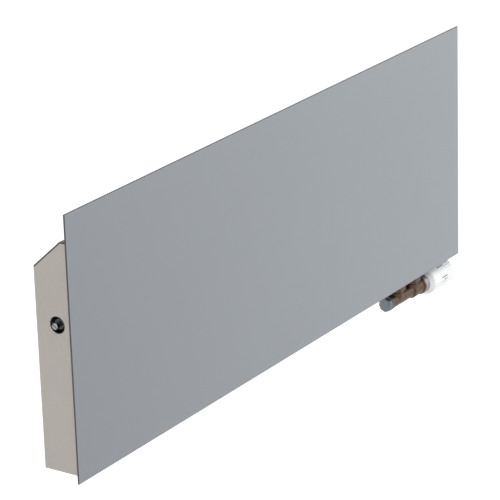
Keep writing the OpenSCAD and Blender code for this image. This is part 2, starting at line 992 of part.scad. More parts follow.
// Valve block: one casting with two necks, two wall pipes and both valve seats
module valve_body() {
    x_big = x_supply - barrel_big_inset;
    x_rim = x_barrel_end - rim_w;
    pipe_end = pipe_neck + pipe_thread_len;
    color(brown_color)
        difference() {
            union() {
                translate([0, y_water, z_valve])
                    turned_x([
                        [x_barrel - cap_thread_len, 0], [x_barrel - cap_thread_len, cap_thread_r],
                        [x_barrel, cap_thread_r], [x_barrel, barrel_r],
                        [x_big - barrel_cone / 2, barrel_r], [x_big + barrel_cone / 2, barrel_big_r],
                        [x_rim - rim_flare, barrel_big_r], [x_rim, rim_r],
                        [x_barrel_end, rim_r], [x_barrel_end, head_thread_r],
                        [x_head_thread, head_thread_r], [x_head_thread, 0]
                    ]);
                at_pipes() {
                    rotate_extrude()
                        polygon([
                            [0, -neck_foot], [neck_foot_r, -neck_foot], [neck_r, neck_foot / 2],
                            [neck_r, neck_top], [neck_thread_r, neck_top],
                            [neck_thread_r, neck_thread_top], [0, neck_thread_top]
                        ]);
                    rod_y(0, pipe_neck + neck_gap, pipe_neck_r);
                    rod_y(pipe_neck, pipe_end, pipe_thread_r);
                }
            }
            translate([0, y_water, z_valve]) {
                rod_x(x_barrel - cap_thread_len - overrun, x_barrel + lock_bore_len, lock_bore_r);
                rod_x(x_head_thread - insert_bore_len, x_head_thread + overrun, insert_bore_r);
            }
            at_pipes() {
                rod_z(0, neck_thread_top + overrun, neck_bore_r);
                rod_y(0, pipe_end + overrun, pipe_bore_r);
            }
        }
}

// Lockshield: spindle, its seal ring and the screwed cap
module lockshield_spindle() {
    x0 = x_barrel - cap_thread_len - spindle_out;
    x_thread = x0 + spindle_out + seal_groove_in + seal_groove_w;
    x_groove = x0 + spindle_out + seal_groove_in;
    color(zinc_color)
        translate([0, y_water, z_valve])
            difference() {
                turned_x([
                    [x0, 0], [x0, spindle_r], [x0 + spindle_out + spindle_shoulder, spindle_r],
                    [x0 + spindle_out + spindle_shoulder, spindle_thread_r], [x_groove, spindle_thread_r],
                    [x_groove, spindle_r], [x_thread, spindle_r], [x_thread, spindle_thread_r],
                    [x_thread + spindle_thread_len, spindle_thread_r],
                    [x_thread + spindle_thread_len, spindle_r], [x0 + spindle_len, spindle_r],
                    [x0 + spindle_len, 0]
                ]);
                translate([x0 - overrun, 0, 0])
                    rotate([0, 90, 0])
                        cylinder(h = socket_depth + overrun, r = socket_r, $fn = 6);
            }
}

module spindle_seal() {
    x_mid = x_barrel - cap_thread_len + seal_groove_in + seal_groove_w / 2;
    wire = (lock_bore_r - spindle_r) / 2 - fit;
    color(rubber_color)
        translate([x_mid, y_water, z_valve])
            rotate([0, 90, 0])
                ring((lock_bore_r + spindle_r) / 2, wire);
}

module lockshield_cap() {
    x_flange = x_barrel - seat_gap - cap_flange_w;
    x_groove = x_flange - cap_groove_w;
    x0 = x_groove - cap_len;
    x_end = x_flange + cap_flange_w;
    color(cap_color)
        translate([0, y_water, z_valve])
            difference() {
                union() {
                    translate([x0, 0, 0])
                        rotate([0, 90, 0])
                            cylinder(h = cap_len, r = cap_r, $fn = 8);
                    rod_x(x_groove - cap_groove_w, x_flange + cap_groove_w, cap_groove_r);
                    rod_x(x_flange, x_end, cap_flange_r);
                }
                rod_x(x0 + cap_lid, x_end + overrun, cap_thread_r + fit);
            }
}

// Thermostatic insert with its pin and washer, and the parts inside the head
module thermostat_insert() {
    x0 = x_head_thread - insert_bore_len;
    x_nose = x_head_thread + insert_nose;
    r = insert_bore_r - fit;
    bore = pin_r + fit;
    x_open = x0 + insert_bore_len / 2;
    color(brown_color)
        translate([0, y_water, z_valve])
            turned_x([
                [x_open, insert_cavity_r], [x_open, r], [x_head_thread, r],
                [x_head_thread, insert_nose_r], [x_nose, insert_nose_r], [x_nose, bore],
                [x_head_thread - insert_lid, bore], [x_head_thread - insert_lid, insert_cavity_r]
            ]);
}

module valve_pin() {
    color(zinc_color)
        translate([0, y_water, z_valve])
            rod_x(x_pin, x_pin_end, pin_r);
}

module valve_washer() {
    color(rubber_color)
        translate([0, y_water, z_valve])
            difference() {
                rod_x(x_pin, x_pin + washer_t, washer_r);
                rod_x(x_pin - overrun, x_pin + washer_t + overrun, pin_r + fit);
            }
}

module push_rod() {
    color(nylon_color)
        translate([0, y_water, z_valve])
            rod_x(x_pin_end, x_sensor, rod_r);
}

module sensor_element() {
    x_end = x_sensor + sensor_len;
    ring_w = sensor_len / 12;
    ring_in = sensor_r / 10;
    color(zinc_color)
        translate([0, y_water, z_valve])
            turned_x([
                [x_sensor, 0], [x_sensor, sensor_r], [x_sensor + ring_w, sensor_r],
                [x_sensor + ring_w, sensor_r - ring_in], [x_end - ring_w, sensor_r - ring_in],
                [x_end - ring_w, sensor_r], [x_end, sensor_r], [x_end, 0]
            ]);
}

module head_nut() {
    x_lip = x_head_thread + base_foot_t + 2 * fit;
    color(zinc_color)
        translate([0, y_water, z_valve])
            turned_x([
                [x_nut, head_thread_r + fit], [x_nut, head_nut_r], [x_nut_end, head_nut_r],
                [x_nut_end, base_neck_r + fit], [x_lip, base_neck_r + fit],
                [x_lip, head_thread_r + fit]
            ]);
}

// Fixed base of the head: a neck in the nut, a cone up to the sleeve and a cage for the sensor
module head_base() {
    x_foot = x_head_thread + fit;
    x_neck = x_foot + base_foot_t;
    x_tube = x_base + base_flange_t;
    x_end = x_base + base_len;
    tube_in = base_tube_r - base_tube_wall;
    guide = rod_r + seat_gap;
    color(white_color)
        translate([0, y_water, z_valve])
            turned_x([
                [x_foot, base_neck_r - base_neck_wall], [x_foot, base_foot_r],
                [x_neck, base_foot_r], [x_neck, base_neck_r],
                [x_cone, base_neck_r], [x_cone, base_cone_r], [x_cone_end, sleeve_core_r],
                [x_cone_end + base_rim_w, sleeve_core_r], [x_cone_end + base_rim_w, base_ring_r],
                [x_tube, base_ring_r], [x_tube, base_tube_r], [x_end, base_tube_r],
                [x_end, tube_in], [x_tube - base_flange_t / 2, tube_in],
                [x_tube - base_flange_t / 2, guide], [x_base - base_flange_t / 4, guide],
                [x_base - base_flange_t / 4, base_neck_r - base_neck_wall]
            ]);
}

// Turning sleeve: a ribbed cup with a rounded end and a boss over the sensor
module head_sleeve() {
    x_grip = x_sleeve + sleeve_step;
    x_round = x_sleeve_end - sleeve_round;
    x_rib_end = x_round - seat_gap;
    x_lid = x_sleeve_end - sleeve_wall;
    x_boss = x_sensor + sensor_len + sleeve_boss_gap;
    color(white_color)
        translate([0, y_water, z_valve]) {
            turned_x([
                [x_sleeve, sleeve_bore_r], [x_sleeve, sleeve_mouth_r], [x_grip, sleeve_core_r],
                for (a = [0 : 15 : 90])
                    [x_round + sleeve_round * sin(a), sleeve_core_r - sleeve_round * (1 - cos(a))],
                [x_sleeve_end, 0], [x_boss, 0], [x_boss, sleeve_boss_r],
                [x_lid, sleeve_boss_r], [x_lid, sleeve_bore_r - sleeve_round / 2],
                [x_lid - sleeve_round / 2, sleeve_bore_r]
            ]);
            for (i = [0 : rib_count - 1])
                rotate([i * 360 / rib_count, 0, 0])
                    block(
                        [x_rib_end - rib_len, sleeve_bore_r + sleeve_wall / 2, -rib_w / 2],
                        [x_rib_end, head_r, rib_w / 2]
                    );
        }
}

front_panel();
panel_stiffeners();
panel_studs();
stud_grommets();
cheek_left();
cheek_right();
casing_front();
casing_back();
brace_left();
brace_right();
brace_screws();
top_grille();
wall_rail_left();
wall_rail_right();
rail_lock_screws();
fin_pack();
upper_tubes();
lower_tubes();
end_plate_left();
end_plate_right();
exchanger_screws();
vent_header();
supply_header();
return_header();
header_caps();
vent_plug();
vent_seal();
bleed_screw();
union_nuts();
union_seals();
valve_body();
lockshield_spindle();
spindle_seal();
lockshield_cap();
thermostat_insert();
valve_pin();
valve_washer();
push_rod();
sensor_element();
head_nut();
head_base();
head_sleeve();
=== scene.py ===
"""Looks of a hot-water wall convector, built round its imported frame.

X runs along the heater, -Y points out of the wall and +Z up. All lengths are metres.
"""

import math

import bmesh
import bpy
from mathutils import Matrix, Vector


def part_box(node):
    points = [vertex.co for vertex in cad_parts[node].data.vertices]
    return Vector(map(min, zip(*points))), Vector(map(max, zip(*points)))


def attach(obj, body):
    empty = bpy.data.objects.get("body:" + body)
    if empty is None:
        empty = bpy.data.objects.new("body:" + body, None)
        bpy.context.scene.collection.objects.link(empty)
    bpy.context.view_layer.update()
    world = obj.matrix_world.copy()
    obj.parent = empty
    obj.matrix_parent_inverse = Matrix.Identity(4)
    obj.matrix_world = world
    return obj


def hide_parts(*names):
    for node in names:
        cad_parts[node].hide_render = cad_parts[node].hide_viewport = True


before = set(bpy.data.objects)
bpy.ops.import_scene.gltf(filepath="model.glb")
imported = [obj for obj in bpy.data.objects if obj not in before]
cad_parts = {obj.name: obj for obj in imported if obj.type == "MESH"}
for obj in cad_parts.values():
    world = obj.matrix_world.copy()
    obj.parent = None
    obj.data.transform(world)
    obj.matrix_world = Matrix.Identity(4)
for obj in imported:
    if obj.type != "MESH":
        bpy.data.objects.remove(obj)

bl_info = {
    "name": "Wall Convector",
    "version": (1, 0, 0),
    "blender": (4, 5, 0),
    "location": "View3D > Sidebar > Convector",
    "description": "Dresses the packed wall convector and sets up its stage",
    "category": "Object",
}

MM = 0.001
WEAR = "edge_wear"

# Sizes of the solids that no box gives
NUT_R = 17.3 * MM
NUT_BORE_R = 12.45 * MM
NUT_NECK_R = 8.05 * MM
PIPE_R = 13.2 * MM
PIPE_BORE_R = 6.5 * MM
PIPE_THREAD = 12 * MM
CAP_BORE_R = 8.45 * MM
HEAD_NUT_BORE_R = 14.05 * MM
HEAD_NUT_NECK_R = 12.05 * MM
HEAD_CORE_R = 22.6 * MM
HEAD_BORE_R = 20.2 * MM
BLEED_SLOT_TURN = math.radians(38)
BLEED_SLOT = 1.6 * MM

# Corners sharper than this are rounded, and edges sharper than the other are shaded sharp
ROUNDED_FROM = math.radians(30)
SHARP_FROM = math.radians(38)

# The camera's place and its axes in the frame
CAMERA_SPOT = (-3.3483, -2.273013, 1.478355)
CAMERA_RIGHT = (0.55318366, -0.8325431, -0.02932275)
CAMERA_UP = (0.3008987, 0.16686199, 0.93894465)
CAMERA_BACK = (-0.77681903, -0.52823202, 0.34281645)


def linear(*levels):
    """Linear colour from sRGB levels of 0 to 255."""
    shares = [v / 255 for v in levels]
    return tuple(((s + 0.055) / 1.055) ** 2.4 if s > 0.04045 else s / 12.92 for s in shares)


def length(label, text, millimetres, most=0.1):
    """A length property that is written in millimetres."""
    return bpy.props.FloatProperty(
        name=label, description=text, default=millimetres * MM, min=0, max=most, unit="LENGTH", precision=5
    )


def color(label, text, *levels):
    """A colour property that is written in sRGB levels of 0 to 255."""
    return bpy.props.FloatVectorProperty(
        name=label, description=text, default=linear(*levels), min=0, max=1, size=3, subtype="COLOR"
    )


def power(label, text, watts):
    """The power of one lamp."""
    return bpy.props.FloatProperty(name=label, description=text, default=watts, min=0, max=2000, unit="POWER")


class ConvectorSizes(bpy.types.PropertyGroup):
    """Roundings and small sizes that the looks add to the solids."""

    panel_round: length("Panel edges", "Radius on the front panel's edges", 0.7)
    cheek_round: length("Casing edges", "Radius on the bent edges of the cheeks", 0.45)
    grille_round: length("Grille edges", "Radius on the grille's edges and slots", 0.35)
    sheet_round: length("Sheet edges", "Radius on the cut edges of thin sheets", 0.22)
    rail_round: length("Rail edges", "Radius on the edges of the wall rails", 0.4)
    screw_round: length("Screw edges", "Radius on the edges of screws and small turned parts", 0.2)
    cast_voxel: length("Casting detail", "Smallest detail of the cast valve block", 0.42)
    pipe_pitch: length("Pipe thread pitch", "Pitch of the two pipe threads", 1.81)
    mark_lift: length("Mark lift", "How far the printed marks stand on the head", 0.04)


class ConvectorColors(bpy.types.PropertyGroup):
    """Colours of the finishes."""

    panel: color("Panel", "Satin lacquer on the front panel", 140, 144, 149)
    # Dark cut edge, darkened further as painted shade of the gap between the panel and the casing
    panel_edge_and_gap_shade: color("Panel edge", "Cut edge of the front panel", 58, 58, 60)
    casing: color("Casing", "Powder coat on the cheeks", 173, 167, 162)
    grille: color("Grille", "Dark coat on the top grille", 104, 104, 103)
    # Near black on the grille's cut ends: painted shade on the narrow edges
    grille_end_shade: color("Grille edge", "Cut ends of the top grille", 12, 12, 12)
    sheet: color("Inner sheets", "Galvanised sheet inside the casing", 142, 145, 148)
    zinc: color("Zinc", "Zinc plate on rails, braces and screws", 176, 178, 180)
    fins: color("Fins", "Aluminium of the fins", 200, 202, 205)
    copper: color("Copper", "Copper of the tubes and headers", 196, 122, 84)
    # Copper darkened nearly to black where the header shows through the vent hole: painted shade of the
    # casing's inside
    shade_darkened_copper: color("Copper in painted shade", "Darkened copper of the header behind the air vent", 52, 40, 34)
    bronze: color("Bronze", "Brown bronze of the valve block and the nuts", 80, 61, 45)
    cap: color("Cap", "Dull nickel on the face of the lockshield cap", 120, 126, 129)
    # The cap's flats, groove and flange are a darker copy of the face's nickel: painted shade
    cap_side_shade: color("Cap sides", "Darker nickel on the cap's flats, groove and flange", 92, 97, 101)
    nickel: color("Nickel", "Bright nickel of the head's nut", 134, 134, 137)
    dark: color("Vent", "Blackened brass of the vent plug", 58, 61, 65)
    chrome: color("Chrome", "Chrome of the bleed screw", 142, 143, 146)
    rubber: color("Rubber", "Black rubber of the seals", 22, 22, 23)
    nylon: color("Nylon", "Natural nylon inside the head", 214, 212, 204)
    head: color("Head", "White plastic of the head's sleeve", 243, 243, 242)


class ConvectorStage(bpy.types.PropertyGroup):
    """Floor, lamps and camera."""

    floor_drop: bpy.props.FloatProperty(
        name="Floor", description="From the wall screws' centre down to the floor",
        default=0.62, min=0.25, max=2, unit="LENGTH",
    )
    floor_glow: bpy.props.FloatProperty(
        name="Floor glow", description="How bright the floor shows of itself, to the camera and in mirrors",
        default=0.56, min=0, max=2, subtype="FACTOR",
    )
    lens: bpy.props.FloatProperty(
        name="Lens", description="Focal length of the camera", default=196.346, min=20, max=400, unit="CAMERA"
    )
    front_lamp: power("Front lamp", "Power of the soft lamp right of the front", 18.1)
    side_lamp: power("Side lamp", "Power of the warm lamp at the left end", 14.7)
    top_lamp: power("Top lamp", "Power of the lamp above", 14)
    ambient: bpy.props.FloatProperty(
        name="Room light", description="Level of the light from all round",
        default=0.61, min=0, max=2, subtype="FACTOR",
    )


class Surface:
    """One material, with short calls that add nodes to it."""

    def __init__(self, name, metallic=0.0, coat=0.0):
        self.material = bpy.data.materials.new(name)
        self.material.use_nodes = True
        self.tree = self.material.node_tree
        self.shader = self.tree.nodes["Principled BSDF"]
        self.shader.inputs["Metallic"].default_value = metallic
        self.shader.inputs["Coat Weight"].default_value = coat
        self.shader.inputs["Coat Roughness"].default_value = 0.2
        self.place = self.add("ShaderNodeTexCoord").outputs["Object"]

    def add(self, kind, sockets=None, **settings):
        node = self.tree.nodes.new(kind)
        for key, value in settings.items():
            setattr(node, key, value)
        for key, value in (sockets or {}).items():
            if isinstance(value, bpy.types.NodeSocket):
                self.tree.links.new(value, node.inputs[key])
            else:
                node.inputs[key].default_value = value
        return node

    def stretched(self, stretch):
        return self.add("ShaderNodeMapping", {"Vector": self.place, "Scale": stretch}).outputs["Vector"]

    def noise(self, size, stretch=(1, 1, 1), detail=3.0):
        """Noise from 0 to 1 with features of that size."""
        sockets = {"Vector": self.stretched(stretch), "Scale": 1 / size, "Detail": detail}
        return self.add("ShaderNodeTexNoise", sockets).outputs["Fac"]

    def cells(self, size):
        """A random level for each crystal of that size."""
        voronoi = self.add("ShaderNodeTexVoronoi", {"Vector": self.place, "Scale": 1 / size})
        return self.add("ShaderNodeSeparateColor", {"Color": voronoi.outputs["Color"]}).outputs["Red"]

    def ranged(self, value, low, high, start=0.3, end=0.7):
        sockets = {"Value": value, "From Min": start, "From Max": end, "To Min": low, "To Max": high}
        return self.add("ShaderNodeMapRange", sockets).outputs["Result"]

    def times(self, one, other):
        return self.add("ShaderNodeMath", {0: one, 1: other}, operation="MULTIPLY").outputs["Value"]

    def mixed(self, factor, one, other):
        """One colour turning into the other as the factor goes from 0 to 1."""
        node = self.add("ShaderNodeMix", data_type="RGBA")
        for socket, value in ((node.inputs[0], factor), (node.inputs[6], one), (node.inputs[7], other)):
            if isinstance(value, bpy.types.NodeSocket):
                self.tree.links.new(value, socket)
            else:
                socket.default_value = value if isinstance(value, float) else (*value, 1)
        return node.outputs[2]

    def shaded(self, tint, factor):
        """A colour times a factor that varies over the surface."""
        low, high = [tuple(c * share for c in tint) for share in (0.5, 1.5)]
        return self.mixed(self.ranged(factor, 0.0, 1.0, 0.5, 1.5), low, high)

    def bumped(self, height, depth):
        """Raise the surface by up to depth."""
        sockets = {"Height": height, "Distance": depth, "Strength": 1.0}
        old = self.shader.inputs["Normal"]
        if old.is_linked:
            sockets["Normal"] = old.links[0].from_socket
        node = self.add("ShaderNodeBump", sockets)
        self.tree.links.new(node.outputs["Normal"], old)

    def drive(self, socket, value):
        self.tree.links.new(value, self.shader.inputs[socket])


def finish(name, tint, rough, metal=0.0, coat=0.0, drift=(0.02, 0.2), mottle=(0.02, 0.004),
           grain=(0.0012, 6e-6), stretch=(1, 1, 1), spangle=None, stain=None, worn=None):
    """A finish, made once and then found by its name.

    Slow drift, fine mottle and crystal spangle are (share, size), grain is (size, depth), a stain is
    (colour, size, share), and worn edges are (colour, share).
    """
    if name in bpy.data.materials:
        return bpy.data.materials[name]
    surface = Surface(name, metal, coat)
    factor = surface.ranged(surface.noise(drift[1]), 1 - drift[0], 1 + drift[0])
    fine = surface.noise(mottle[1], stretch)
    factor = surface.times(factor, surface.ranged(fine, 1 - mottle[0], 1 + mottle[0]))
    if spangle:
        crystals = surface.cells(spangle[1])
        factor = surface.times(factor, surface.ranged(crystals, 1 - spangle[0], 1 + spangle[0], 0.0, 1.0))
    shade = surface.shaded(tint, factor)
    if stain:
        stain_tint, stain_size, stain_share = stain
        patches = surface.ranged(surface.noise(stain_size, detail=6.0), 0.0, stain_share, 0.48, 0.68)
        shade = surface.mixed(patches, shade, stain_tint)
    if worn:
        worn_tint, worn_share = worn
        edge = surface.add("ShaderNodeAttribute", attribute_name=WEAR).outputs["Fac"]
        rubbed = surface.times(edge, surface.ranged(surface.noise(3 * MM), 0.2, worn_share, 0.35, 0.6))
        shade = surface.mixed(rubbed, shade, worn_tint)
    surface.drive("Base Color", shade)
    surface.drive("Roughness", surface.ranged(fine, rough * 0.88, rough * 1.14))
    surface.bumped(surface.noise(grain[0], stretch, 2.0), grain[1])
    return surface.material


def paler(tint, share):
    """A colour lightened by that share."""
    return tuple(min(1, c * (1 + share)) for c in tint)


def lacquers(colors):
    """The coats on the panel, the casing and the grille, and their cut edges, which are darkened with painted
    shade.
    """
    panel = finish("Panel lacquer", tuple(colors.panel), 0.42, drift=(0.012, 0.35), mottle=(0.012, 0.006),
                   stretch=(1, 1, 0.03), grain=(0.0014, 5e-6), coat=0.1,
                   worn=(paler(colors.panel, 0.15), 0.5))
    # The panel's cut edge, darkened further as painted shade of the gap to the casing
    edge = finish("Panel edge", tuple(colors.panel_edge_and_gap_shade), 0.5, mottle=(0.06, 0.002), grain=(0.0006, 1.2e-5))
    casing = finish("Casing powder coat", tuple(colors.casing), 0.55, drift=(0.02, 0.12),
                    mottle=(0.035, 0.0032), grain=(0.0011, 2.2e-5), worn=(paler(colors.casing, 0.12), 0.6))
    grille = finish("Grille dark coat", tuple(colors.grille), 0.5, drift=(0.03, 0.15), mottle=(0.05, 0.003),
                    grain=(0.0009, 2e-5), worn=(paler(colors.grille, 0.25), 0.4))
    # The grille's cut ends in near black: painted shade
    ends = finish("Grille ends in painted shade", tuple(colors.grille_end_shade), 0.5, mottle=(0.06, 0.002),
                  grain=(0.0006, 1.2e-5))
    return panel, edge, casing, grille, ends


def sheet_metals(colors):
    """Galvanised sheet, zinc plate and the aluminium of the fins."""
    sheet = finish("Galvanised sheet", tuple(colors.sheet), 0.42, metal=0.75, drift=(0.04, 0.1),
                   mottle=(0.03, 0.004), spangle=(0.1, 0.007), grain=(0.003, 8e-6),
                   worn=(linear(196, 198, 200), 0.8))
    zinc = finish("Zinc plate", tuple(colors.zinc), 0.34, metal=0.9, drift=(0.05, 0.03),
                  mottle=(0.05, 0.0025), grain=(0.0007, 6e-6), stain=(linear(150, 148, 138), 0.012, 0.35),
                  worn=(linear(214, 214, 214), 0.8))
    fins = finish("Fin aluminium", tuple(colors.fins), 0.3, metal=0.9, drift=(0.05, 0.05),
                  mottle=(0.05, 0.002), stretch=(1, 0.1, 1), grain=(0.0012, 1.5e-5))
    return sheet, zinc, fins


def pipe_metals(colors):
    """Copper, brown bronze, and copper darkened as painted shade."""
    copper = finish("Copper", tuple(colors.copper), 0.36, metal=0.95, drift=(0.12, 0.04),
                    mottle=(0.06, 0.003), stain=(linear(112, 66, 46), 0.018, 0.6), grain=(0.0008, 8e-6))
    bronze = finish("Brown bronze", tuple(colors.bronze), 0.42, metal=0.75, drift=(0.08, 0.014),
                    mottle=(0.06, 0.0016), stain=(linear(74, 60, 50), 0.007, 0.4), grain=(0.0009, 3e-5),
                    worn=(linear(160, 126, 94), 0.6))
    # The header behind the vent hole, darkened as painted shade, with darker patches still
    shade_copper = finish("Copper in painted shade", tuple(colors.shade_darkened_copper), 0.6, metal=0.4, drift=(0.12, 0.02),
                  mottle=(0.1, 0.002), stain=(linear(30, 27, 25), 0.006, 0.6), grain=(0.0008, 1.5e-5))
    return copper, bronze, shade_copper


def plated_metals(colors):
    """The plated finishes of the cap, the nut, the vent plug and the bleed screw."""
    cap = finish("Dull nickel", tuple(colors.cap), 0.5, metal=0.5, drift=(0.06, 0.01),
                 mottle=(0.05, 0.0012), grain=(0.0005, 8e-6))
    # Darker nickel for the cap's sides, painted shade; its rounded edges go darker still, a painted shade
    # line along the rims
    side = finish("Nickel in painted shade", tuple(colors.cap_side_shade), 0.46, metal=0.5, drift=(0.06, 0.01),
                  mottle=(0.05, 0.0012), grain=(0.0005, 8e-6), worn=(linear(66, 70, 73), 0.8))
    nickel = finish("Bright nickel", tuple(colors.nickel), 0.42, metal=0.8, drift=(0.04, 0.01),
                    mottle=(0.03, 0.001), grain=(0.0006, 4e-6), worn=(linear(214, 214, 214), 0.6))
    dark = finish("Blackened brass", tuple(colors.dark), 0.36, metal=0.5, drift=(0.1, 0.008),
                  mottle=(0.08, 0.0015), grain=(0.0006, 1e-5), worn=(linear(176, 178, 182), 1.0))
    chrome = finish("Chrome", tuple(colors.chrome), 0.16, metal=1.0, drift=(0.03, 0.01),
                    mottle=(0.03, 0.001), grain=(0.0008, 3e-6), worn=(linear(214, 214, 216), 0.6))
    return cap, side, nickel, dark, chrome


def plastics(colors):
    """Rubber, nylon, the white plastic of the head and the ink of its marks."""
    rubber = finish("Black rubber", tuple(colors.rubber), 0.7, mottle=(0.12, 0.001), grain=(0.0004, 2e-5))
    nylon = finish("Nylon", tuple(colors.nylon), 0.45, mottle=(0.02, 0.002), grain=(0.0008, 8e-6))
    head = finish("White plastic", tuple(colors.head), 0.38, drift=(0.008, 0.02), mottle=(0.008, 0.0015),
                  grain=(0.0005, 6e-6), worn=(paler(colors.head, 0.04), 0.5))
    print_ink = finish("Dial print", linear(104, 107, 111), 0.5, mottle=(0.05, 0.0006), grain=(0.0003, 3e-6))
    return rubber, nylon, head, print_ink


def place(name, shape, body, slot, finishes, *nodes):
    """Put a mesh in the scene as a piece that rides on a body and stands for CAD nodes."""
    mesh = bpy.data.meshes.new(name)
    bmesh.ops.recalc_face_normals(shape, faces=shape.faces)
    shape.to_mesh(mesh)
    shape.free()
    for material in finishes:
        mesh.materials.append(material)
    mesh.polygons.foreach_set("use_smooth", [True] * len(mesh.polygons))
    mesh.set_sharp_from_angle(angle=SHARP_FROM)
    piece = bpy.data.objects.new(name, mesh)
    bpy.context.scene.collection.objects.link(piece)
    even = piece.modifiers.new("Even shading", "WEIGHTED_NORMAL")
    even.keep_sharp = True
    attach(piece, body)
    if nodes:
        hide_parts(*nodes)
    return piece


def coat_node(node, material):
    """Give a CAD node that keeps its own shape its finish."""
    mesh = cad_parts[node].data
    for index in range(len(mesh.materials)):
        mesh.materials[index] = material


def from_node(node):
    """A copy of a CAD node's mesh, with its split corners joined and its flat faces whole."""
    shape = bmesh.new()
    shape.from_mesh(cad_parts[node].data)
    bmesh.ops.remove_doubles(shape, verts=shape.verts, dist=MM / 1000)
    bmesh.ops.dissolve_limit(
        shape, angle_limit=math.radians(0.5), use_dissolve_boundaries=False,
        verts=shape.verts, edges=shape.edges,
    )
    for face in shape.faces:
        face.material_index = 0
    return shape


def softened(radius, node, steps=2):
    """A CAD node with rounded corners. The middle of each rounding carries the edge wear."""
    shape = from_node(node)
    wear = shape.verts.layers.float.new(WEAR)
    corners = [e for e in shape.edges if e.is_manifold and e.calc_face_angle() > ROUNDED_FROM]
    made = bmesh.ops.bevel(
        shape, geom=corners, offset=radius, offset_type="OFFSET", profile_type="SUPERELLIPSE",
        segments=steps, profile=0.5, affect="EDGES", clamp_overlap=True,
    )
    rounded = set(made["faces"])
    for vert in shape.verts:
        if vert.link_faces and all(face in rounded for face in vert.link_faces):
            vert[wear] = 1.0
    return shape


def soft_piece(name, node, radius, slot, material, body="casing"):
    """A CAD node's own shape with rounded corners and one finish, as a piece."""
    place(name, softened(radius, node), body, slot, [material], node)


def middle(low, high):
    """The centre of a box."""
    return tuple((one + other) / 2 for one, other in zip(low, high))


def eased(points, radius):
    """A closed profile with its corners rounded: (along, radius, wear) for each point."""
    area = sum(a[0] * b[1] - b[0] * a[1] for a, b in zip(points, points[1:] + points[:1]))
    profile = []
    for i, point in enumerate(points):
        here = Vector(point[:2])
        before = Vector(points[i - 1][:2]) - here
        after = Vector(points[(i + 1) % len(points)][:2]) - here
        if point[1] <= 0 or before.length == 0 or after.length == 0:
            profile.append((point[0], point[1], 0.0, *point[2:]))
            continue
        cut = min(radius, 0.4 * before.length, 0.4 * after.length)
        start, end = here + before.normalized() * cut, here + after.normalized() * cut
        turn = before.x * after.y - before.y * after.x
        outward = 1.0 if turn * area < 0 else 0.0
        crown = (start + end) / 4 + here / 2
        for spot, wear in ((start, 0.0), (crown, outward), (end, 0.0)):
            profile.append((spot.x, spot.y, wear, *point[2:]))
    return profile


def turned(profile, centre, axis="X", count=96):
    """Turn a closed profile of (along, radius, wear) or (along, radius, wear, section) round an axis.

    A section is a function of the angle, the place along the axis and the radius. It gives the radius there.
    """
    shape = bmesh.new()
    layer = shape.verts.layers.float.new(WEAR)
    loops = []
    for along, radius, wear, *section in profile:
        if radius <= 0:
            loops.append([shape.verts.new((along, 0, 0))])
            continue
        loop = []
        for k in range(count):
            angle = math.tau * k / count
            reach = section[0](angle, along, radius) if section else radius
            vert = shape.verts.new((along, reach * math.cos(angle), reach * math.sin(angle)))
            vert[layer] = wear
            loop.append(vert)
        loops.append(loop)
    for one, other in zip(loops, loops[1:] + loops[:1]):
        if len(one) == len(other) == 1:
            continue
        for k in range(count):
            near = [one[k % len(one)], one[(k + 1) % len(one)]]
            far = [other[(k + 1) % len(other)], other[k % len(other)]]
            shape.faces.new(list(dict.fromkeys(near + far)))
    turns = {
        "X": Matrix(),
        "Y": Matrix.Rotation(math.pi / 2, 4, "Z"),
        "Z": Matrix.Rotation(-math.pi / 2, 4, "Y"),
    }
    shape.transform(Matrix.Translation(centre) @ turns[axis])
    return shape


def merged(*shapes):
    """Several meshes in one."""
    whole = shapes[0]
    for shape in shapes[1:]:
        spare = bpy.data.meshes.new("spare")
        shape.to_mesh(spare)
        shape.free()
        whole.from_mesh(spare)
        bpy.data.meshes.remove(spare)
    return whole


def thread(start, end, crest, bore, pitch, centre, axis):
    """A pipe thread with its bore, its ends run out to the root."""
    depth = 0.54 * pitch

    def helix(angle, along, radius):
        if radius < crest * 0.999:
            return radius
        wave = abs(2 * (((along / pitch + angle / math.tau) % 1) - 0.5))
        run_out = min(1.0, (along - start) / pitch, (end - along) / pitch)
        flank = min(1.0, max(0.0, 1.35 * wave - 0.175))
        return radius - depth * (1 - flank * max(0.0, run_out))

    rows = max(8, round((end - start) / pitch * 9))
    outside = [(start + (end - start) * i / rows, crest, 0.0, helix) for i in range(rows + 1)]
    inside = [(end, bore, 0.0, helix), (start, bore, 0.0, helix)]
    return turned(outside + inside, centre, axis, 72)


def flats(sides, across, turn=0.0):
    """A section with flats at that distance from the axis. The first flat faces the angle turn."""

    def section(angle, along, radius):
        off = (angle - turn + math.pi / sides) % (math.tau / sides) - math.pi / sides
        return min(radius, across / math.cos(off))

    return section


class ConvectorPiece(bpy.types.Operator):
    """One piece, or a group of like pieces, of the convector"""

    bl_options = {"REGISTER", "UNDO"}

    def execute(self, context):
        self.build(context.scene.convector_sizes, context.scene.convector_colors)
        return {"FINISHED"}


class CONVECTOR_OT_panel(ConvectorPiece):
    """Front panel with satin lacquer and dark cut edges, darkened further as painted gap shade, and the
    stiffeners, studs and grommets behind it
    """

    bl_idname = "convector.panel"
    bl_label = "Front panel"

    def build(self, sizes, colors):
        panel, edge, *_ = lacquers(colors)
        _, zinc, _ = sheet_metals(colors)
        _, nylon, *_ = plastics(colors)
        shape = softened(sizes.panel_round, "front_panel", steps=3)
        shape.normal_update()
        # Faces that don't face front or back take the dark edge finish: the cut edge, darkened further as
        # painted shade of the gap to the casing
        for face in shape.faces:
            face.material_index = int(abs(face.normal.y) < 0.8)
        place("front_sheet", shape, "panel", "panel_lacquer", [panel, edge], "front_panel")
        soft_piece("stiffener_bars", "panel_stiffeners", sizes.rail_round, "zinc_steel", zinc, "panel")
        soft_piece("push_studs", "panel_studs", sizes.screw_round, "zinc_steel", zinc, "panel")
        soft_piece("stud_grommet_set", "stud_grommets", sizes.screw_round, "nylon", nylon)


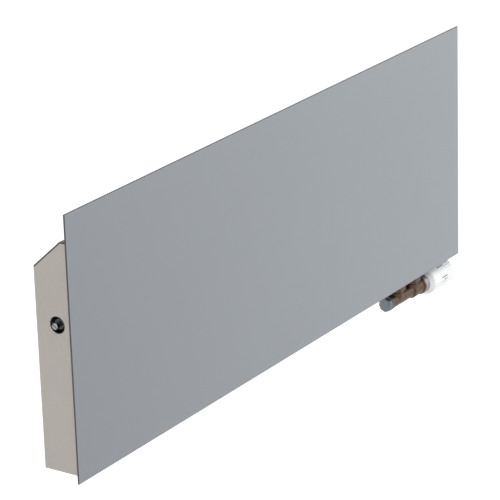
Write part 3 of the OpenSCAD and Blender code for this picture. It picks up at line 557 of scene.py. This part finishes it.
class CONVECTOR_OT_casing(ConvectorPiece):
    """Casing: two powder-coated cheeks, the galvanised front and back sheets, the braces and their screws"""

    bl_idname = "convector.casing"
    bl_label = "Casing"

    def build(self, sizes, colors):
        casing = lacquers(colors)[2]
        sheet, zinc, _ = sheet_metals(colors)
        for side in ("left", "right"):
            soft_piece(f"casing_cheek_{side}", f"cheek_{side}", sizes.cheek_round, "casing_lacquer", casing)
            soft_piece(f"casing_brace_{side}", f"brace_{side}", sizes.sheet_round, "zinc_steel", zinc)
        for side in ("front", "back"):
            soft_piece(f"inner_sheet_{side}", f"casing_{side}", sizes.sheet_round, "inner_sheet", sheet)
        soft_piece("brace_screw_set", "brace_screws", sizes.screw_round, "zinc_steel", zinc)


class CONVECTOR_OT_grille(ConvectorPiece):
    """Top grille: one bent sheet with rounded slots and a dark coat, with painted shade on its cut ends"""

    bl_idname = "convector.grille"
    bl_label = "Top grille"

    def build(self, sizes, colors):
        grille, ends = lacquers(colors)[3:]
        shape = softened(sizes.grille_round, "top_grille")
        shape.normal_update()
        # Faces that face along the heater take the near-black end finish, painted shade
        for face in shape.faces:
            face.material_index = int(abs(face.normal.x) > 0.3)
        place("air_grille", shape, "grille", "grille_lacquer", [grille, ends], "top_grille")


class CONVECTOR_OT_rails(ConvectorPiece):
    """Wall rails with their hooks, and the screws that lock the casing on them"""

    bl_idname = "convector.rails"
    bl_label = "Wall rails"

    def build(self, sizes, colors):
        zinc = sheet_metals(colors)[1]
        for side in ("left", "right"):
            soft_piece(f"hook_rail_{side}", f"wall_rail_{side}", sizes.rail_round, "zinc_steel", zinc)
        soft_piece("lock_screw_pair", "rail_lock_screws", sizes.screw_round, "zinc_steel", zinc)


class CONVECTOR_OT_exchanger(ConvectorPiece):
    """Exchanger: fins, tubes, end plates, headers and their caps"""

    bl_idname = "convector.exchanger"
    bl_label = "Exchanger"

    def build(self, sizes, colors):
        _, zinc, fins = sheet_metals(colors)
        copper, _, shade_copper = pipe_metals(colors)
        coat_node("fin_pack", fins)
        # The header seen through the vent hole takes the darkened copper, painted shade
        coat_node("vent_header", shade_copper)
        for node in ("upper_tubes", "lower_tubes", "supply_header", "return_header", "header_caps"):
            coat_node(node, copper)
        for side in ("left", "right"):
            soft_piece(f"fin_end_plate_{side}", f"end_plate_{side}", sizes.rail_round, "zinc_steel", zinc)
        soft_piece("end_plate_screws", "exchanger_screws", sizes.screw_round, "zinc_steel", zinc)


class CONVECTOR_OT_vent(ConvectorPiece):
    """Air vent: the dark plug with its rimmed ring, its seal and the slotted bleed screw"""

    bl_idname = "convector.vent"
    bl_label = "Air vent"

    def build(self, sizes, colors):
        dark, chrome = plated_metals(colors)[3:]
        coat_node("vent_seal", plastics(colors)[0])
        soft_piece("vent_ring", "vent_plug", sizes.screw_round, "vent_dark", dark)
        screw = softened(sizes.screw_round, "bleed_screw")
        low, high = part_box("bleed_screw")
        centre = (low + high) / 2
        across = Vector((0, -math.sin(BLEED_SLOT_TURN), math.cos(BLEED_SLOT_TURN)))
        slot_start, slot_end = low.x + 0.1 * MM, low.x + 1.7 * MM
        for face in screw.faces:
            spot = face.calc_center_median()
            in_slot = abs((spot - centre).dot(across)) < BLEED_SLOT / 2 and slot_start < spot.x < slot_end
            face.material_index = int(in_slot)
        place("slotted_bleed_screw", screw, "bleed", "bleed_chrome", [chrome, dark], "bleed_screw")


class CONVECTOR_OT_valve(ConvectorPiece):
    """Valve block: the brown casting, its threads, union nuts, seals, and the lockshield under its cap"""

    bl_idname = "convector.valve"
    bl_label = "Valve block"

    def build(self, sizes, colors):
        bronze = pipe_metals(colors)[1]
        cap, side, *_ = plated_metals(colors)
        rubber = plastics(colors)[0]
        zinc = sheet_metals(colors)[1]
        for node in ("union_seals", "spindle_seal"):
            coat_node(node, rubber)
        self.casting(sizes, bronze, rubber)
        self.nuts(bronze)
        self.cap(cap, side)
        round_size = sizes.screw_round
        soft_piece("lockshield_screw", "lockshield_spindle", round_size, "zinc_steel", zinc, "lockshield")

    def casting(self, sizes, bronze, dark):
        """The cast block: its solid with cast fillets, necks in black rubber under the nuts as painted shade,
        and threaded pipes.
        """
        spare = bpy.data.meshes.new("spare")
        shape = from_node("valve_body")
        shape.to_mesh(spare)
        shape.free()
        block = bpy.data.objects.new("spare", spare)
        bpy.context.scene.collection.objects.link(block)
        remesh = block.modifiers.new("Cast skin", "REMESH")
        remesh.mode = "VOXEL"
        remesh.voxel_size = sizes.cast_voxel
        smooth = block.modifiers.new("Fillets", "SMOOTH")
        smooth.factor = 0.5
        smooth.iterations = 9
        bpy.context.view_layer.update()
        depsgraph = bpy.context.evaluated_depsgraph_get()
        skin = bpy.data.meshes.new_from_object(block.evaluated_get(depsgraph))
        bpy.data.objects.remove(block)
        bpy.data.meshes.remove(spare)
        shape = bmesh.new()
        shape.from_mesh(skin)
        bpy.data.meshes.remove(skin)
        shape.verts.layers.float.new(WEAR)
        self.threads(shape, sizes)
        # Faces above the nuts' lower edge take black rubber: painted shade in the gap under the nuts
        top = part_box("union_nuts")[0].z - 1.5 * MM
        for face in shape.faces:
            face.material_index = int(face.calc_center_median().z > top)
        place("valve_casting", shape, "casing", "valve_bronze", [bronze, dark], "valve_body")

    def threads(self, shape, sizes):
        """Cut the pipes behind the block off and put threaded ends in their place."""
        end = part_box("valve_body")[1].y
        start = end - PIPE_THREAD + 0.5 * MM
        nuts_low, nuts_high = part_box("union_nuts")
        everything = [*shape.verts, *shape.edges, *shape.faces]
        cut = bmesh.ops.bisect_plane(
            shape, geom=everything, plane_co=(0, start, 0), plane_no=(0, 1, 0), clear_outer=True
        )
        rim = [part for part in cut["geom_cut"] if isinstance(part, bmesh.types.BMEdge)]
        bmesh.ops.triangle_fill(shape, edges=rim, use_beauty=True)
        z = middle(*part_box("lockshield_cap"))[2]
        for x in (nuts_low.x + NUT_R, nuts_high.x - NUT_R):
            pipe = thread(start - 0.1 * MM, end, PIPE_R, PIPE_BORE_R, sizes.pipe_pitch, (x, 0, z), "Y")
            merged(shape, pipe)

    def nuts(self, bronze):
        """Two union nuts: hexagons with chamfered ends over the necks."""
        low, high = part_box("union_nuts")
        y = middle(low, high)[1]
        start, lid = low.z + 0.8 * MM, high.z - 5.2 * MM
        six = flats(6, (high.y - low.y) / 2)
        corners, ends = NUT_R - 0.15 * MM, NUT_R - 2.3 * MM
        profile = [
            (start, NUT_BORE_R), (start, ends - 0.5 * MM), (start + 1.5 * MM, corners),
            (high.z - 1.3 * MM, corners), (high.z, ends), (high.z, NUT_NECK_R),
            (lid, NUT_NECK_R), (lid, NUT_BORE_R),
        ]
        profile = eased([(*point, six) for point in profile], 0.35 * MM)
        shapes = [turned(profile, (x, y, 0), "Z") for x in (low.x + NUT_R, high.x - NUT_R)]
        place("union_nut_pair", merged(*shapes), "casing", "valve_bronze", [bronze], "union_nuts")

    def cap(self, face_material, shaded_side_material):
        """The lockshield's cap: eight flats, a groove and a flange, all but its face in painted shade."""
        low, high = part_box("lockshield_cap")
        _, y, z = middle(low, high)
        radius = (high.y - low.y) / 2
        eight = flats(8, radius * math.cos(math.pi / 8), math.pi / 8)
        flange, groove, neck = high.x - 2.5 * MM, high.x - 3.7 * MM, radius - 1 * MM
        lid = low.x + 2.2 * MM
        profile = [
            (low.x, 0.0), (low.x, radius - 1.5 * MM, eight), (low.x + 0.7 * MM, radius, eight),
            (groove, radius, eight), (groove, neck), (flange, neck), (flange, radius), (high.x, radius),
            (high.x, CAP_BORE_R), (lid, CAP_BORE_R), (lid, 0.0),
        ]
        shape = turned(eased(profile, 0.3 * MM), (0, y, z))
        shape.normal_update()
        # Faces that don't face along the axis take the darker nickel, painted shade on the cap's sides
        for face in shape.faces:
            face.material_index = int(abs(face.normal.x) < 0.8)
        place("eight_sided_cap", shape, "cap", "cap_nickel", [face_material, shaded_side_material], "lockshield_cap")


class CONVECTOR_OT_head(ConvectorPiece):
    """Thermostatic head: insert, pin, sensor, nut with flutes, and the ribbed white sleeve with its marks"""

    bl_idname = "convector.head"
    bl_label = "Thermostatic head"

    def build(self, sizes, colors):
        bronze = pipe_metals(colors)[1]
        nickel = plated_metals(colors)[2]
        rubber, nylon, head, print_ink = plastics(colors)
        zinc = sheet_metals(colors)[1]
        for node, material in (
            ("thermostat_insert", bronze), ("valve_pin", zinc), ("valve_washer", rubber),
            ("push_rod", nylon), ("sensor_element", zinc),
        ):
            coat_node(node, material)
        soft_piece("head_cone", "head_base", sizes.rail_round, "head_white", head)
        self.nut(nickel)
        self.sleeve(head)
        self.marks(sizes, print_ink)

    def nut(self, material):
        """The head's round nut: a plain band, and fine flutes at its far edge."""
        low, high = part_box("head_nut")
        _, y, z = middle(low, high)
        radius = (high.y - low.y) / 2
        lip = high.x - 2.7 * MM
        band = low.x + 4.4 * MM
        flutes, flute_depth = 72, 0.1 * MM

        def fluted(angle, along, reach):
            return reach - flute_depth * (0.5 - 0.5 * math.cos(flutes * angle))

        profile = [
            (low.x, HEAD_NUT_BORE_R), (low.x, radius), (band, radius), (band + 0.4 * MM, radius, fluted),
            (high.x - 1.2 * MM, radius, fluted), (high.x - 0.6 * MM, radius), (high.x, radius),
            (high.x, HEAD_NUT_NECK_R), (lip, HEAD_NUT_NECK_R), (lip, HEAD_NUT_BORE_R),
        ]
        shape = turned(eased(profile, 0.3 * MM), (0, y, z), count=6 * flutes)
        place("fluted_head_nut", shape, "casing", "nut_nickel", [material], "head_nut")

    def sleeve(self, material):
        """The turning sleeve: a cup with ribs that run out into its rounded end."""
        low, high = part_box("head_sleeve")
        _, y, z = middle(low, high)
        core, mouth = HEAD_CORE_R, HEAD_CORE_R - 0.4 * MM
        ribs, rib = 30, 0.9 * MM
        round_end = 5 * MM
        rib_end = high.x - round_end
        rib_start, rib_top = rib_end - 20 * MM, rib_end + 2 * MM

        def ribbed(angle, along, reach):
            if not rib_start <= along <= rib_top:
                return reach
            fade = min(1.0, (along - rib_start) / (1.5 * MM), (rib_top - along) / (2 * MM))
            wave = 0.5 + 0.5 * math.cos(ribs * angle)
            return reach + rib * fade * min(1.0, 1.7 * wave ** 2)

        outside = [(low.x, mouth, 0.0), (low.x + 0.1 * MM, mouth + 0.25 * MM, 1.0)]
        outside += [(low.x + 0.4 * MM, core, 0.0), (rib_start, core, 0.0)]
        steps, turns = 44, 10
        for i in range(1, steps + 1):
            outside.append((rib_start + (rib_end - rib_start) * i / steps, core, 0.0, ribbed))
        for i in range(1, turns + 1):
            angle = math.pi / 2 * i / turns
            reach = core - round_end * (1 - math.cos(angle))
            outside.append((rib_end + round_end * math.sin(angle), reach, 0.0, ribbed))
        dish, dish_floor = 12 * MM, high.x - 0.3 * MM
        outside += [(high.x, dish, 0.0), (dish_floor, dish - 0.8 * MM, 0.0), (dish_floor, 0.0, 0.0)]
        lid, boss, boss_start = high.x - 2.4 * MM, 8 * MM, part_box("sensor_element")[1].x + 2 * MM
        inside = [
            (boss_start, 0.0, 0.0), (boss_start, boss, 0.0), (lid, boss, 0.0),
            (lid, HEAD_BORE_R - 2.5 * MM, 0.0), (lid - 2.5 * MM, HEAD_BORE_R, 0.0), (low.x, HEAD_BORE_R, 0.0),
        ]
        shape = turned(outside + inside, (0, y, z), count=360)
        place("ribbed_sleeve", shape, "head", "head_white", [material], "head_sleeve")

    def marks(self, sizes, ink):
        """A broad pointer line, and five stations of setting strokes, printed on the sleeve."""
        low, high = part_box("head_sleeve")
        _, y, z = middle(low, high)
        reach = HEAD_CORE_R + sizes.mark_lift
        shape = bmesh.new()

        def stroke(angle, width, start, end):
            """A stroke along the head: degrees up from the front, then width and ends in millimetres."""
            rows = 3
            ends = []
            for along in (start, end):
                line = []
                for i in range(rows + 1):
                    turn = math.radians(angle) + width * MM / reach * (i / rows - 0.5)
                    spot = (low.x + along * MM, y - reach * math.cos(turn), z + reach * math.sin(turn))
                    line.append(shape.verts.new(spot))
                ends.append(line)
            first, last = ends
            for i in range(rows):
                shape.faces.new((first[i], first[i + 1], last[i + 1], last[i]))

        stroke(57.5, 1.3, 23, 42.3)
        for angle in range(0, -300, -60):
            stroke(angle + 7.3, 1.9, 24.4, 42.3)
            stroke(angle - 5.2, 1.6, 32.4, 41.7)
            stroke(angle - 12.3, 0.8, 21.1, 38.7)
        place("dial_marks", shape, "head", "vent_dark", [ink])


class CONVECTOR_OT_stage(ConvectorPiece):
    """Floor, room light, lamps and the camera"""

    bl_idname = "convector.stage"
    bl_label = "Stage"

    def build(self, sizes, colors):
        stage = bpy.context.scene.convector_stage
        self.camera(stage)
        self.floor(stage)
        self.world(stage)
        aim = Vector((0.1, -0.03, 0.0))
        right, left = aim + Vector((0.3, 0, 0)), aim - Vector((0.6, 0, 0))
        self.lamp("front_softbox", (1.5, -1.5, 0.45), right, 1.6, stage.front_lamp, (0.95, 0.98, 1))
        self.lamp("side_softbox", (-2.5, 0.3, 0.6), left, 1.4, stage.side_lamp, (1, 0.97, 0.93))
        self.lamp("top_softbox", (-0.6, -0.9, 2.4), aim, 1.6, stage.top_lamp, (1, 1, 1))
        bpy.context.scene.view_settings.view_transform = "Standard"

    def camera(self, stage):
        data = bpy.data.cameras.new("photo_camera")
        data.sensor_width = 36
        data.lens = stage.lens
        camera = bpy.data.objects.new("photo_camera", data)
        turn = Matrix((CAMERA_RIGHT, CAMERA_UP, CAMERA_BACK)).transposed().to_4x4()
        camera.matrix_world = Matrix.Translation(CAMERA_SPOT) @ turn
        bpy.context.scene.collection.objects.link(camera)
        bpy.context.scene.camera = camera

    def lamp(self, name, spot, aim, size, watts, tint):
        data = bpy.data.lights.new(name, "AREA")
        data.shape = "SQUARE"
        data.size = size
        data.energy = watts
        data.color = tint
        lamp = bpy.data.objects.new(name, data)
        lamp.location = spot
        lamp.rotation_euler = (Vector(aim) - Vector(spot)).to_track_quat("-Z", "Y").to_euler()
        bpy.context.scene.collection.objects.link(lamp)

    def seen(self, tree):
        """1 for rays that show the background itself: camera, glossy and transmission rays."""
        path = tree.nodes.new("ShaderNodeLightPath")
        seen = path.outputs["Is Camera Ray"]
        for name in ("Is Glossy Ray", "Is Transmission Ray"):
            node = tree.nodes.new("ShaderNodeMath")
            node.operation = "MAXIMUM"
            tree.links.new(seen, node.inputs[0])
            tree.links.new(path.outputs[name], node.inputs[1])
            seen = node.outputs["Value"]
        return seen

    def world(self, stage):
        """Room light on the heater, and plain white where the background shows."""
        world = bpy.data.worlds.new("room")
        world.use_nodes = True
        tree = world.node_tree
        ambient = tree.nodes["Background"]
        ambient.inputs["Color"].default_value = (0.97, 0.985, 1, 1)
        ambient.inputs["Strength"].default_value = stage.ambient
        backdrop = tree.nodes.new("ShaderNodeBackground")
        backdrop.inputs["Color"].default_value = (1, 1, 1, 1)
        mix = tree.nodes.new("ShaderNodeMixShader")
        tree.links.new(self.seen(tree), mix.inputs["Fac"])
        tree.links.new(ambient.outputs["Background"], mix.inputs[1])
        tree.links.new(backdrop.outputs["Background"], mix.inputs[2])
        tree.links.new(mix.outputs["Shader"], tree.nodes["World Output"].inputs["Surface"])
        bpy.context.scene.world = world

    def floor(self, stage):
        """A pale floor that runs to the horizon and keeps the heater's shadow."""
        reach = 40.0
        shape = bmesh.new()
        bmesh.ops.create_grid(shape, x_segments=8, y_segments=8, size=reach)
        shape.transform(Matrix.Translation((0, 0, -stage.floor_drop)))
        mesh = bpy.data.meshes.new("floor")
        shape.to_mesh(mesh)
        shape.free()
        material = bpy.data.materials.new("Pale floor")
        material.use_nodes = True
        tree = material.node_tree
        shader = tree.nodes["Principled BSDF"]
        shader.inputs["Base Color"].default_value = (0.8, 0.8, 0.8, 1)
        shader.inputs["Roughness"].default_value = 0.9
        shader.inputs["Emission Color"].default_value = (1, 1, 1, 1)
        glow = tree.nodes.new("ShaderNodeMath")
        glow.operation = "MULTIPLY"
        glow.inputs[1].default_value = stage.floor_glow
        tree.links.new(self.seen(tree), glow.inputs[0])
        tree.links.new(glow.outputs["Value"], shader.inputs["Emission Strength"])
        mesh.materials.append(material)
        floor = bpy.data.objects.new("floor", mesh)
        bpy.context.scene.collection.objects.link(floor)


PIECES = (
    CONVECTOR_OT_stage, CONVECTOR_OT_panel, CONVECTOR_OT_casing, CONVECTOR_OT_grille, CONVECTOR_OT_rails,
    CONVECTOR_OT_exchanger, CONVECTOR_OT_vent, CONVECTOR_OT_valve, CONVECTOR_OT_head,
)


class CONVECTOR_PT_sidebar(bpy.types.Panel):
    """Lists the pieces and the settings they use"""

    bl_idname = "CONVECTOR_PT_sidebar"
    bl_label = "Wall convector"
    bl_space_type = "VIEW_3D"
    bl_region_type = "UI"
    bl_category = "Convector"

    def draw(self, context):
        for piece in PIECES:
            self.layout.operator(piece.bl_idname)
        for group in ("convector_sizes", "convector_colors", "convector_stage"):
            settings = getattr(context.scene, group)
            column = self.layout.column()
            for name in settings.__annotations__:
                column.prop(settings, name)


GROUPS = {
    "convector_sizes": ConvectorSizes,
    "convector_colors": ConvectorColors,
    "convector_stage": ConvectorStage,
}
CLASSES = (*GROUPS.values(), *PIECES, CONVECTOR_PT_sidebar)


def register():
    for cls in CLASSES:
        bpy.utils.register_class(cls)
    for name, group in GROUPS.items():
        setattr(bpy.types.Scene, name, bpy.props.PointerProperty(type=group))


def unregister():
    for name in GROUPS:
        delattr(bpy.types.Scene, name)
    for cls in reversed(CLASSES):
        bpy.utils.unregister_class(cls)


def main():
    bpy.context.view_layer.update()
    register()
    for piece in PIECES:
        family, name = piece.bl_idname.split(".")
        getattr(getattr(bpy.ops, family), name)()


if __name__ == "__main__":
    main()
